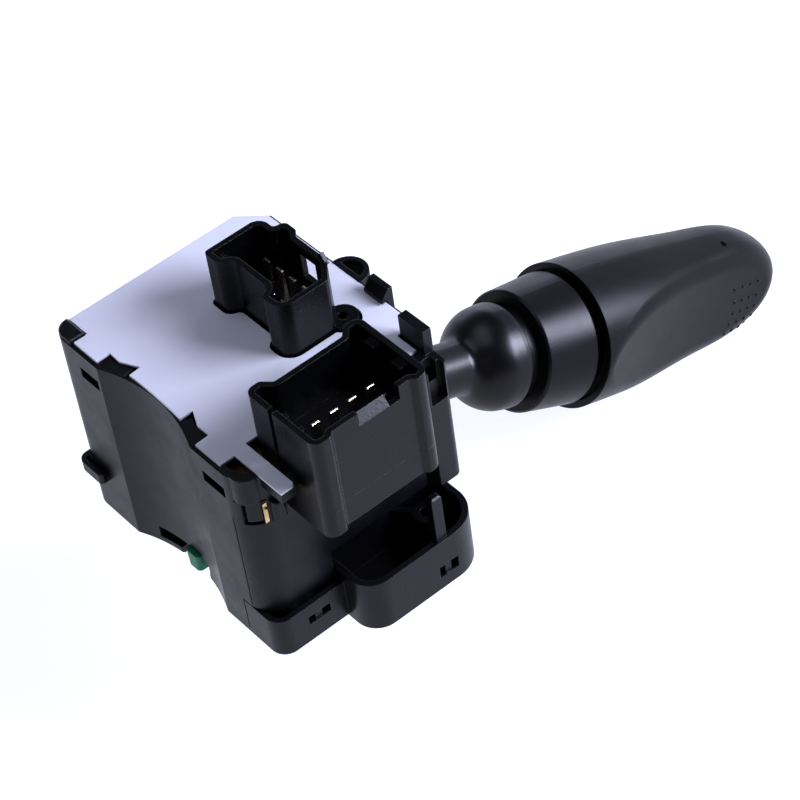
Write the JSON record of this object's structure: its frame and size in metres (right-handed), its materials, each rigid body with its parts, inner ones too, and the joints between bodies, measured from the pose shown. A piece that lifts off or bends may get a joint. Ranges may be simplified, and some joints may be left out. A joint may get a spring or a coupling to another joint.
{
  "type": "combination stalk switch",
  "caption": "Column switch with a sloping stalk that turns, tilts and has a rotary knob, a black case with a white cover plate and open plug housings.",
  "frame": {"origin": "turn axis of the stalk on the bottom face of the case", "axes": "+X from the column towards the knob, +Z along the column from the case's bottom face to the plugs, +Y across the stalk, away from the front plug housing"},
  "size_m": [0.189, 0.0847, 0.1113],
  "materials": {
    "case_plastic": "fine-textured moulded black",
    "plug_plastic": "moulded black",
    "plate_plastic": "smooth moulded white",
    "stalk_plastic": "satin black",
    "knob_plastic": "satin black",
    "inner_plastic": "natural acetal",
    "carrier_plastic": "glass-filled grey",
    "pawl_plastic": "moulded green",
    "board_laminate": "pressed laminate",
    "contact_brass": "stamped",
    "blade_tin": "tinned",
    "screw_steel": "zinc plated",
    "spring_steel": "drawn wire",
    "lead_sleeve": "extruded"
  },
  "bodies": {
    "housing": {"upper_case": "case_plastic", "lower_cover": "case_plastic", "cover_plate": "plate_plastic", "rear_plug_housing": "plug_plastic", "front_plug_housing": "plug_plastic", "terminal_skirt": "plug_plastic", "rear_terminals": "blade_tin", "front_terminals": "blade_tin", "terminal_board": "board_laminate", "board_tracks": "contact_brass", "side_contact": "contact_brass", "beam_contact_board": "board_laminate", "beam_tracks": "contact_brass", "detent_track": "inner_plastic", "case_screws": "screw_steel", "pawl_spring": "spring_steel"},
    "carrier": {"turn_carrier": "carrier_plastic", "beam_pivot_pins": "screw_steel", "turn_detent_spring": "spring_steel"},
    "plunger": {"turn_plunger": "inner_plastic"},
    "stalk": {"stalk_lever": "stalk_plastic", "stalk_collar": "knob_plastic", "stalk_spindle": "stalk_plastic", "light_contact_board": "board_laminate", "light_tracks": "contact_brass", "stalk_leads": "lead_sleeve", "knob_retaining_clip": "spring_steel"},
    "light_knob": {"knob_shell": "knob_plastic", "knob_core": "stalk_plastic", "light_wiper": "contact_brass", "knob_detent_ball": "screw_steel", "knob_detent_spring": "spring_steel"},
    "turn_slide": {"turn_slider": "inner_plastic", "turn_wipers": "contact_brass"},
    "beam_slide": {"beam_slider": "inner_plastic", "beam_wiper": "contact_brass"},
    "pawl": {"cancel_pawl": "pawl_plastic"}
  },
  "joints": [
    {"name": "turn", "type": "hinge", "parent": "housing", "child": "carrier", "pos_m": [0, 0, 0.0256], "axis": [0, 0, 1], "range_deg": [-12, 12]},
    {"name": "tilt", "type": "hinge", "parent": "carrier", "child": "stalk", "pos_m": [0, 0, 0.0256], "axis": [0, 1, 0], "range_deg": [-6, 6]},
    {"name": "light_turn", "type": "hinge", "parent": "stalk", "child": "light_knob", "pos_m": [0, 0, 0.0256], "axis": [0.9367, 0, -0.3502], "range_deg": [0, 60]},
    {"name": "plunger_slide", "type": "slide", "parent": "carrier", "child": "plunger", "axis": [0, -1, 0], "range_m": [0, 0.001], "stiffness_N_per_m": 300, "springref_m": -0.002},
    {"name": "turn_contacts", "type": "slide", "parent": "housing", "child": "turn_slide", "axis": [0, 1, 0], "range_m": [-0.0032, 0.0032]},
    {"name": "beam_contacts", "type": "slide", "parent": "housing", "child": "beam_slide", "axis": [0, 0, 1], "range_m": [-0.0017, 0.0017]},
    {"name": "pawl_swing", "type": "hinge", "parent": "housing", "child": "pawl", "pos_m": [-0.018, 0, 0.004], "axis": [0, 0, 1], "range_deg": [-10, 10], "stiffness_Nm_per_rad": 0.02}
  ],
  "couplings": [
    {"joint": "turn_contacts", "follows": "turn", "m_per_rad": -0.015},
    {"joint": "beam_contacts", "follows": "tilt", "m_per_rad": 0.016}
  ]
}
